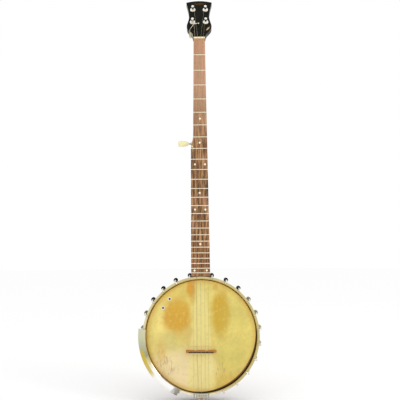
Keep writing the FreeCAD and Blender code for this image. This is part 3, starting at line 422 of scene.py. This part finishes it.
# ---- Fifth peg -------------------------------------------------------------------------------
# A friction peg let into the side of the neck at the step, with a longer turned cream button
# on its steel shaft.
dress("fifth_peg_bushing", nickel)
dress("fifth_peg_shaft", nickel)
fifth_deep, fifth_at = 11.5 * MM, 287.5 * MM
fifth_frame = neck_frame @ Matrix.Translation((0, fifth_deep, -fifth_at)) @ Matrix.Rotation(
    math.radians(90), 4, "Z")
fifth_bore = 2.06
fifth_corners = ((fifth_bore, 31.1, 0), (4.6, 31.1, 0.5), (5.6, 34.0, 1.5), (7.6, 38.5, 3.0),
                 (8.15, 49.0, 3.0), (7.8, 55.0, 1.4), (6.6, 56.9, 1.0), (fifth_bore, 56.9, 0))
fifth_turn = [(r * MM, y * MM) for r, y in rounded(fifth_corners)]
fifth = lathe("fifth_peg_button_turned", fifth_turn + fifth_turn[:1], fifth_frame, 48)
coat(fifth, cream_button)
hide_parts("fifth_peg_button")
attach(fifth, "fifth_peg")

# ---- Rim, tone ring and flesh hoop -----------------------------------------------------------
# The rim is bent from layers of maple glued inside one another; a brass rod lies on its front
# edge, and the wet skin was lapped round the brass flesh hoop outside it. Pot is the middle
# of the skin's face; the finishes of the round pieces are laid out from it.
low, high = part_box("rim")
pot = Vector(((low[0] + high[0]) / 2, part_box("head")[0][1], (low[2] + high[2]) / 2))
pot_frame = Matrix.Translation(pot)


def layers(wood, colour):
    # Thin dark glue lines, one between each pair of layers.
    layer = 2.1
    spot = wood.place(move=tuple(-pot))
    out = wood.from_axis(spot) / MM
    line = wood.node("ShaderNodeMath", {"operation": "PINGPONG"}, {0: out, 1: layer})
    return wood.blend(wood.fade(line, 0.35, 0.1) * 0.7, colour, tone(92, 50, 24)), 0.12


rim_wood = maple("bent_maple", (math.radians(90), 0, 0), tone(164, 104, 54), tone(104, 56, 26), 0.3,
                 layers)
dress("rim", rim_wood)
dress("tone_ring", brass)
dress("flesh_hoop", brass)

# ---- Skin head -------------------------------------------------------------------------------
# A calf skin drawn over the tone ring: yellow with age, browned where the hand rests either
# side of the strings, cleaner under them, clouded, and scuffed in the lower half.
skin = Finish("aged_calf_skin")
here = skin.place(move=tuple(-pot))
far = skin.noise(here, 26.0, 4.0, 0.6, 0.3)
near = skin.noise(here, 110.0, 5.0, 0.65, 0.6)
speck = skin.noise(here, 900.0, 3.0, 0.7)
wander = 0.018  # how far the edges of the stains stray, to both sides together
stray = skin.node("ShaderNodeTexNoise", None, {"Vector": here, "Scale": 30.0, "Detail": 3.0}, 1)
warped = skin.node("ShaderNodeVectorMath", {"operation": "MULTIPLY_ADD"},
                   {0: stray, 1: (wander, 0.0, wander), 2: here})
warped = skin.node("ShaderNodeVectorMath", {"operation": "SUBTRACT"},
                   {0: warped, 1: (wander / 2, 0.0, wander / 2)})
colour = skin.ramp(far, ((0.3, tone(200, 180, 86)), (0.5, tone(221, 198, 98)),
                         (0.7, tone(234, 212, 108))))
STAINS = (  # x, z, half width, half height, softness, strength, colour
    (-0.094, 0.030, 0.028, 0.075, 1.3, 0.6, tone(246, 220, 122)),
    (-0.060, 0.049, 0.035, 0.043, 0.6, 0.97, tone(204, 146, 6)),
    (0.050, 0.056, 0.023, 0.052, 0.8, 1.0, tone(197, 152, 2)),
    (0.052, 0.022, 0.018, 0.034, 1.0, 0.6, tone(194, 154, 24)),
    (-0.025, 0.120, 0.011, 0.022, 0.7, 0.97, tone(214, 142, 6)),
    (-0.022, 0.098, 0.010, 0.018, 1.1, 0.5, tone(200, 150, 40)),
    (0.037, 0.119, 0.008, 0.009, 1.0, 0.6, tone(198, 146, 30)),
    (-0.058, 0.088, 0.034, 0.026, 1.2, 0.4, tone(216, 172, 44)),
    (-0.050, 0.006, 0.034, 0.014, 1.2, 0.45, tone(204, 164, 56)),
    (0.090, 0.050, 0.034, 0.050, 1.3, 0.3, tone(202, 184, 80)),
    (0.100, -0.010, 0.026, 0.060, 1.3, 0.3, tone(224, 200, 92)),
    (0.070, -0.045, 0.044, 0.040, 1.2, 0.4, tone(190, 174, 70)),
    (0.048, -0.085, 0.030, 0.030, 1.2, 0.4, tone(206, 180, 78)),
    (-0.085, -0.018, 0.030, 0.024, 1.2, 0.55, tone(186, 172, 96)),
    (-0.036, -0.020, 0.014, 0.034, 1.2, 0.45, tone(196, 168, 90)),
    (-0.060, -0.076, 0.066, 0.040, 1.1, 0.85, tone(234, 210, 158)),
    (-0.034, -0.108, 0.040, 0.024, 1.1, 0.7, tone(242, 214, 164)),
    (0.004, -0.092, 0.032, 0.050, 1.1, 0.8, tone(243, 221, 158)),
    (0.054, -0.112, 0.040, 0.020, 1.2, 0.6, tone(208, 168, 58)),
    (-0.100, -0.036, 0.012, 0.030, 1.1, 0.5, tone(214, 166, 70)),
)
for x, z, wide, tall, soft, strength, stain in STAINS:
    mask = skin.blot(warped, x, z, wide, tall, soft)
    colour = skin.blend(mask * (near * 0.7 + 0.62) * strength, colour, stain)
# The strip under the strings, wider towards the tail.
across = skin.axis(warped, "X")
rise = skin.axis(here, "Z")
flare = rise * -0.09 + 0.0245
strip = skin.fade(across + flare, -0.004, 0.006) * skin.fade(flare - across, -0.004, 0.006)
strip = strip * skin.fade(rise, 0.140, 0.100)
colour = skin.blend(strip * 0.75, colour, tone(232, 215, 130))
colour = skin.blend(skin.fade(near, 0.5, 0.66) * 0.26, colour, tone(184, 168, 86))
colour = skin.blend(skin.fade(near, 0.48, 0.34) * 0.14, colour, tone(240, 218, 128))
# A painted shadow under each string, and a faint darker line across the skin above the bridge.
# Painted string shadows on the skin.
for x in (-0.0190, -0.009975, 0.0, 0.009975, 0.018525):
    line = skin.fade((skin.axis(here, "X") - x) ** 2.0, 1.4e-6, 2.0e-7)
    colour = skin.blend(line * 0.3, colour, tone(176, 150, 76))
cross_line_rise = -0.0265
cross_line = skin.fade((rise - cross_line_rise) ** 2.0, 1.2e-6, 2.0e-7) * skin.fade(across ** 2.0, 0.0011, 0.0008)
colour = skin.blend(cross_line * 0.4, colour, tone(196, 160, 80))
scuff_lean = math.radians(38)
slanting = skin.place(move=tuple(-pot), turn=(0, scuff_lean, 0), stretch=(1.0, 1.0, 0.16))
scuffed = skin.noise(slanting, 330.0, 3.0, 0.6, 0.8)
for x, z, wide, tall in ((-0.098, -0.052, 0.014, 0.020), (-0.084, -0.076, 0.018, 0.018),
                         (0.050, -0.086, 0.013, 0.020)):
    scuff = skin.blot(warped, x, z, wide, tall, 0.6) * skin.fade(scuffed, 0.52, 0.6)
    colour = skin.blend(scuff * 0.6, colour, tone(158, 116, 92))
# Browner towards the hoop; a painted hoop shadow darkens the skin's edge, widest at the lower right.
side, out = skin.axis(here, "X"), skin.from_axis(here)
colour = skin.blend(skin.fade(out, 0.122, 0.139) * 0.6, colour, tone(214, 160, 56))
colour = skin.blend(skin.fade(speck, 0.58, 0.72) * 0.3, colour, tone(160, 132, 66))
# Painted shadow: a dark band where the skin meets the hoop, wider at the lower right.
hoop_shadow = skin.fade(out + skin.fade(side * 0.72 - rise * 0.69, 0.065, 0.142) * 0.0052, 0.1378, 0.1394)
colour = skin.blend(hoop_shadow * 0.95, colour, tone(62, 32, 8))
calf_skin = skin.finish(colour, 0.42 + near * 0.2, near + speck * 0.25, 0.00025,
                        Subsurface_Weight=0.12, Coat_Weight=0.15, Coat_Roughness=0.3)
# In section the skin is flat, bends back over the tone ring's rod and ends in a short skirt.
flat, rings = 0.134, 14
rod, bend, bend_inside = 0.135375, 0.003675, 0.0032
skirt_outside, skirt_inside, skirt_end = 0.13905, 0.13858, 0.0128
thickness, halfway = 0.00048, 0.05
turns = [math.radians(9 * k) for k in range(11)]
crown = [(flat * (k / rings) ** 0.8, 0.0) for k in range(rings + 1)]
crown += [(rod + bend * math.sin(a), bend - bend * math.cos(a)) for a in turns]
crown += [(skirt_outside, skirt_end), (skirt_inside, skirt_end)]
crown += [(rod + bend_inside * math.sin(a), bend - bend_inside * math.cos(a)) for a in reversed(turns)]
crown += [(halfway, thickness), (0.0, thickness)]
head = lathe("skin_head", crown, pot_frame, 160)
coat(head, calf_skin)
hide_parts("head")
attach(head, "instrument")
stud_metal = metal("dark_stud", tone(70, 66, 62), 0.3, tone(40, 36, 34))
dress("head_studs", stud_metal)
# Each stud's place: degrees left of the neck line, and millimetres from the middle.
studs = ((40.7, 120.6), (54.0, 117.6))
washer_turn = [(0.0028, -0.0003), (0.0042, -0.0005), (0.0044, -0.0001), (0.0028, -0.0001)]
for number, (angle, reach) in enumerate(studs, 1):
    spot = Matrix.Rotation(math.radians(-angle), 3, "Y") @ Vector((0, 0, reach * MM))
    washer = lathe("stud_washer_%d" % number, washer_turn + washer_turn[:1],
                   pot_frame @ Matrix.Translation(spot), 40)
    coat(washer, bright)
    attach(washer, "instrument")

# ---- Tension hoop, hooks, shoes and nuts -----------------------------------------------------
# A nickelled brass hoop presses the flesh hoop down; 24 hooks bent from rod sit in its
# notches and are drawn back by nuts through shoes bolted to the rim.
plated = Finish("hoop_nickel")
spot = plated.place(move=tuple(-pot))
side, rise, out = plated.axis(spot, "X"), plated.axis(spot, "Z"), plated.from_axis(spot)
cloud = plated.noise(spot, 70.0, 4.0, 0.6)
# Painted light over the tarnish: painted shade on the lower right, a painted white highlight
# on the lower left and a painted reflection of the yellow skin along the inner edge.
skin_reflection = plated.fade(out, 0.1432, 0.1412)
shaded_lower_right = plated.fade(side * 0.8 - rise * 0.6, -0.02, 0.13)
colour = plated.blend(plated.fade(cloud, 0.42, 0.6) * 0.5, tone(228, 220, 186), tone(196, 182, 124))
colour = plated.blend(shaded_lower_right * 0.55, colour, tone(176, 160, 92))
lit_lower_left = plated.fade(side * -0.5 - rise * 0.87, 0.05, 0.13)
colour = plated.blend(lit_lower_left * 0.75, colour, tone(250, 246, 236))
# Darker olive towards the top.
colour = plated.blend(plated.fade(rise, -0.02, 0.14) * 0.5, colour, tone(190, 178, 110))
colour = plated.blend(skin_reflection * 0.75, colour, tone(190, 158, 66))
hoop_nickel = plated.finish(colour, 0.26 + cloud * 0.12, cloud, 0.00004, Metallic=1.0)
dress("tension_hoop", hoop_nickel)
dress("tension_hooks", nickel)
# Painted highlight: the black turns pale grey in patches towards both sides and the lower half.
blackened = Finish("blackened_metal")
spot = blackened.place()
side, rise = blackened.axis(spot, "X"), blackened.axis(spot, "Z")
mottling = blackened.noise(spot, 260.0, 3.0, 0.6)
# Painted highlight on the shoes and nuts at both sides and lower down.
lit_sides_and_bottom = blackened.fade(side, 0.090, 0.128) * 0.6 + blackened.fade(side, -0.124, -0.142) * 0.4
lit_sides_and_bottom = (lit_sides_and_bottom + blackened.fade(rise, -0.725, -0.765) * 0.2) * (mottling * 0.8 + 0.6)
colour = blackened.ramp(mottling, ((0.4, tone(6, 6, 6)), (0.7, tone(26, 24, 20))))
colour = blackened.blend(lit_sides_and_bottom, colour, tone(206, 198, 160))
blackened_metal = blackened.finish(colour, 0.32 + mottling * 0.2, mottling, 0.00005, Metallic=0.4,
                                   Specular_IOR_Level=0.25)
dress("bracket_shoes", blackened_metal)
dress("hook_nuts", blackened_metal)
for part in ("shoe_bolts", "coordinator_rods", "coordinator_rod_nuts", "neck_lag_bolts"):
    dress(part, steel)

# ---- Tailpiece -------------------------------------------------------------------------------
# A bent nickel plate hooked over the hoop, with a stud for each string loop, held down by a
# hanger bolt to the end of the upper coordinator rod.
tail_nickel = metal("tailpiece_nickel", tone(196, 194, 184), 0.22, tone(132, 126, 108), 0.5)
dress("tailpiece", tail_nickel, 0.0002)
dress("tailpiece_bolt", steel)
dress("tailpiece_nut", brass)

# ---- Armrest ---------------------------------------------------------------------------------
# A polished plate curved over the hoop on the player's side and rolled down outside it, on
# two clamps that hook under the hoop with a screw each.
mirror = Finish("armrest_chrome")
spot = mirror.place(move=tuple(-pot))
side, rise, out = mirror.axis(spot, "X"), mirror.axis(spot, "Z"), mirror.from_axis(spot)
leftward = side * -1.0
swept = leftward.sum("ARCTAN2", leftward, rise)
wavy = mirror.noise(spot, 55.0, 3.0, 0.5, 1.0)
turn = swept + (wavy - 0.5) * 0.16
# Painted reflections along the plate: grey-green and olive bands, then a painted white highlight
# over its lower end, greyer at the very tip.
colour = mirror.ramp(mirror.fade(turn, 1.40, 2.72), (
    (0.0, tone(206, 204, 172)), (0.12, tone(186, 188, 154)), (0.3, tone(158, 162, 128)),
    (0.42, tone(214, 206, 150)), (0.6, tone(252, 252, 248)), (0.985, tone(250, 250, 250)),
    (1.0, tone(150, 148, 140))))
gold = mirror.fade(turn, 1.74, 1.86) * mirror.fade(turn, 2.32, 2.18)
gold = gold * mirror.fade(out, 0.1460, 0.1480)
colour = mirror.blend(gold * 0.85, colour, tone(206, 178, 62))
lip = mirror.fade(out, 0.1408, 0.1392)
colour = mirror.blend(lip * 0.6, colour, tone(196, 158, 92))
chrome = mirror.finish(colour, 0.06 + wavy * 0.06, wavy, 0.0002, Metallic=1.0)
# The plate's section, in millimetres: from the middle of the head, and behind its surface.
outside = [(138.0, -6.2), (138.3, -7.1), (139.2, -7.95), (141.0, -8.85), (144.0, -9.85), (147.0, -10.4),
           (150.0, -10.45), (152.6, -9.85), (154.8, -8.5), (156.4, -6.5), (157.4, -3.9), (157.9, -1.2),
           (158.0, 1.0)]
inside = [(156.5, 1.0), (156.4, -1.2), (155.9, -3.5), (155.1, -5.6), (153.8, -7.2), (152.0, -8.4),
          (150.0, -8.95), (147.0, -8.95), (144.0, -8.5), (141.6, -7.5), (140.0, -6.6), (139.2, -6.1)]
section = [(r * MM, y * MM) for r, y in outside + inside]
rest_from, rest_sweep = 83.0, 74.0
rest = lathe("armrest_plate", section + section[:1], pot_frame, 72,
             math.radians(-90 - rest_from - rest_sweep), math.radians(rest_sweep))
coat(rest, chrome)
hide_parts("armrest")
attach(rest, "instrument")
dress("armrest_clamps", nickel)
dress("armrest_screws", steel)

# ---- Bridge ----------------------------------------------------------------------------------
# Three feet sawn from maple, thinner towards the top, with a strip of ebony glued on, in
# which the strings rest. String pressure alone holds it on the skin.
bridge_wood = maple("bridge_maple", (0, math.radians(90), 0), tone(206, 138, 68), tone(150, 88, 34),
                    0.45)
dress("bridge_feet", bridge_wood, 0.0003)
ebony = Finish("ebony")
grain = ebony.noise(ebony.place(stretch=(0.06, 1.0, 1.0)), 900.0, 4.0, 0.6)
colour = ebony.ramp(grain, ((0.4, tone(26, 18, 12)), (0.7, tone(62, 44, 26))))
dress("bridge_saddle", ebony.finish(colour, 0.4, grain, 0.00005), 0.0002)

# ---- Strings ---------------------------------------------------------------------------------
# Plain steel for four strings and a wound bass string; the spare end of the bass string was
# left uncut and curls down beside the nut to a frayed tuft of silk.
string_steel = metal("string_steel", tone(196, 188, 156), 0.34, tone(132, 118, 84), 0.5, 200.0)
for number in (1, 2, 3, 5):
    dress("string_%d" % number, string_steel)
wound = Finish("wound_bronze")
ridges = wound.node("ShaderNodeTexWave", {"wave_type": "BANDS", "bands_direction": "Z"},
                    {"Vector": wound.place(), "Scale": 900.0})
colour = wound.ramp(ridges, ((0.2, tone(182, 170, 140)), (0.8, tone(236, 230, 210))))
played = wound.fade(wound.axis(wound.place(), "Z"), 0.0, -0.03)
colour = wound.blend(played * 0.75, colour, tone(130, 108, 72))
dress("string_4", wound.finish(colour, 0.3, ridges, 0.00005, Metallic=1.0))


def wire(name, runs, thick, material):
    # Lengths of wire, each led smoothly by its points, in millimetres.
    path = bpy.data.curves.new(name, "CURVE")
    path.dimensions = "3D"
    path.bevel_depth, path.bevel_resolution, path.resolution_u = thick, 3, 8
    path.use_fill_caps = True
    for points in runs:
        run = path.splines.new("NURBS")
        run.points.add(len(points) - 1)
        for point, spot in zip(run.points, points):
            point.co = (*(c * MM for c in spot), 1.0)
        run.order_u = min(4, len(points))
        run.use_endpoint_u = True
    piece = bpy.data.objects.new(name, path)
    bpy.context.collection.objects.link(piece)
    path.materials.append(material)
    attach(piece, "instrument")


end_steel = metal("string_end_steel", tone(240, 234, 212), 0.3, tone(196, 186, 150), 0.3, 200.0)
spare_end = [(-14.4, 13.4, 51.5), (-13.4, 12.6, 47.0), (-17.6, 11.0, 44.6), (-22.0, 12.0, 47.8),
             (-21.8, 14.4, 54.5), (-17.6, 15.6, 57.6), (-13.4, 13.6, 54.0), (-13.6, 11.0, 48.0),
             (-15.4, 10.4, 43.6), (-21.8, 8.2, 34.6), (-26.4, 5.6, 26.0), (-25.4, 2.6, 18.0),
             (-23.6, 0.8, 11.0)]
sleeve = [(-16.6, 11.6, 45.4), (-12.4, 10.8, 45.8), (-6.4, 11.2, 47.0)]
core = [(-7.0, 11.2, 46.9), (-4.4, 11.3, 47.2), (-1.8, 11.2, 47.4)]
wire("bass_string_end", [spare_end], 0.5 * MM, end_steel)
wire("bass_string_tip", [sleeve], 1.1 * MM, bright)
wire("bass_string_core", [core], 0.4 * MM, end_steel)
silk = Finish("frayed_silk")
lint = silk.noise(silk.place(), 700.0, 3.0, 0.6)
colour = silk.ramp(lint, ((0.35, tone(150, 146, 104)), (0.65, tone(224, 214, 176))))
frayed_silk = silk.finish(colour, 0.9, lint, 0.0001, Sheen_Weight=0.4)
bead_turn = [(0.0, -1.9), (1.0, -1.7), (1.7, -0.9), (1.9, 0.0), (1.7, 0.9), (1.0, 1.7), (0.0, 1.9)]
bead = lathe("string_end_bead", [(r * MM, y * MM) for r, y in bead_turn],
             Matrix.Translation(Vector(core[-1]) * MM), 24)
coat(bead, cream_button)
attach(bead, "instrument")
# The fibres hang in a loose bunch, spread evenly by the golden angle; their spread and drop
# step through two uneven shares, so no two hang alike.
golden_angle, golden_share, silver_share = 2.39996, 0.618034, 0.414214
fibres = []
for k in range(150):
    spin, lean = k * golden_angle, (k * golden_share) % 1.0
    wide, drop = 1.4 + 4.2 * lean, 10.0 + 8.0 * ((k * silver_share) % 1.0)
    x, y = math.cos(spin) * wide, math.sin(spin) * wide * 0.7
    curl = 1.6 * math.sin(k * 1.7)
    fibres.append([(-24.0 + x * 0.1, 2.0, 19.0), (-24.0 + x * 0.9, 1.4 + y, 16.0),
                   (-23.2 + x * 1.1 + curl, 0.4 + y, 19.0 - drop * 0.65),
                   (-22.6 + x * 0.8 - curl * 0.4, -0.4 + y * 0.8, 19.0 - drop)])
wire("frayed_string_silk", fibres, 0.16 * MM, frayed_silk)

# ---- Floor, light and camera -----------------------------------------------------------------
# A pale floor just under the tail, one large soft lamp from the right, a weaker one from the
# left, and a white surround. The camera stands level with the end of the neck, looking
# slightly up, so the peghead and the pot are seen almost square on.
paper = Finish("pale_floor")
floor_material = paper.finish(tone(253, 253, 253), 0.95, Specular_IOR_Level=0.0)
floor_radius, floor_gap = 9.0, 0.0015
floor_form = bmesh.new()
bmesh.ops.create_circle(floor_form, cap_ends=True, segments=96, radius=floor_radius)
floor = made("floor", floor_form, Matrix.Translation((0, 0, cad_box[0][2] - floor_gap)))
coat(floor, floor_material)

world = bpy.data.worlds.new("studio")
bpy.context.scene.world = world
world.use_nodes = True
surround = world.node_tree.nodes["Background"].inputs
surround["Color"].default_value, surround["Strength"].default_value = (1.0, 1.0, 1.0, 1.0), 1.0
bpy.context.scene.view_settings.view_transform = "Standard"


def lamp(name, size, power, place, target):
    light = bpy.data.lights.new(name, "AREA")
    light.shape, light.size, light.energy = "DISK", size, power
    stand = bpy.data.objects.new(name, light)
    bpy.context.collection.objects.link(stand)
    stand.location = place
    stand.rotation_euler = (Vector(target) - Vector(place)).to_track_quat("-Z", "Y").to_euler()


middle = (0, 0, -0.5)
lamp("key_lamp", 0.7, 8.0, (1.9, -1.3, 0.2), middle)
lamp("fill_lamp", 1.2, 1.5, (-1.6, -1.4, -0.1), middle)

eye = bpy.data.cameras.new("camera")
eye.sensor_width = 36.0
eye.lens = 48.5
eye.clip_start, eye.clip_end = 0.05, 50.0
camera = bpy.data.objects.new("camera", eye)
bpy.context.collection.objects.link(camera)
stands_at = Matrix.Translation((0.0044, -1.4057, -0.5619))
look_up, look_left, roll = 0.0892, 0.0036, -0.0065
ahead = Vector((-math.sin(look_left) * math.cos(look_up), math.cos(look_left) * math.cos(look_up),
                math.sin(look_up)))
level = Vector((math.cos(look_left), math.sin(look_left), 0.0))
upward = level.cross(ahead)
right = level * math.cos(roll) + upward * math.sin(roll)
upward = upward * math.cos(roll) - level * math.sin(roll)
camera.matrix_world = stands_at @ Matrix((right, upward, -ahead)).transposed().to_4x4()
bpy.context.scene.camera = camera
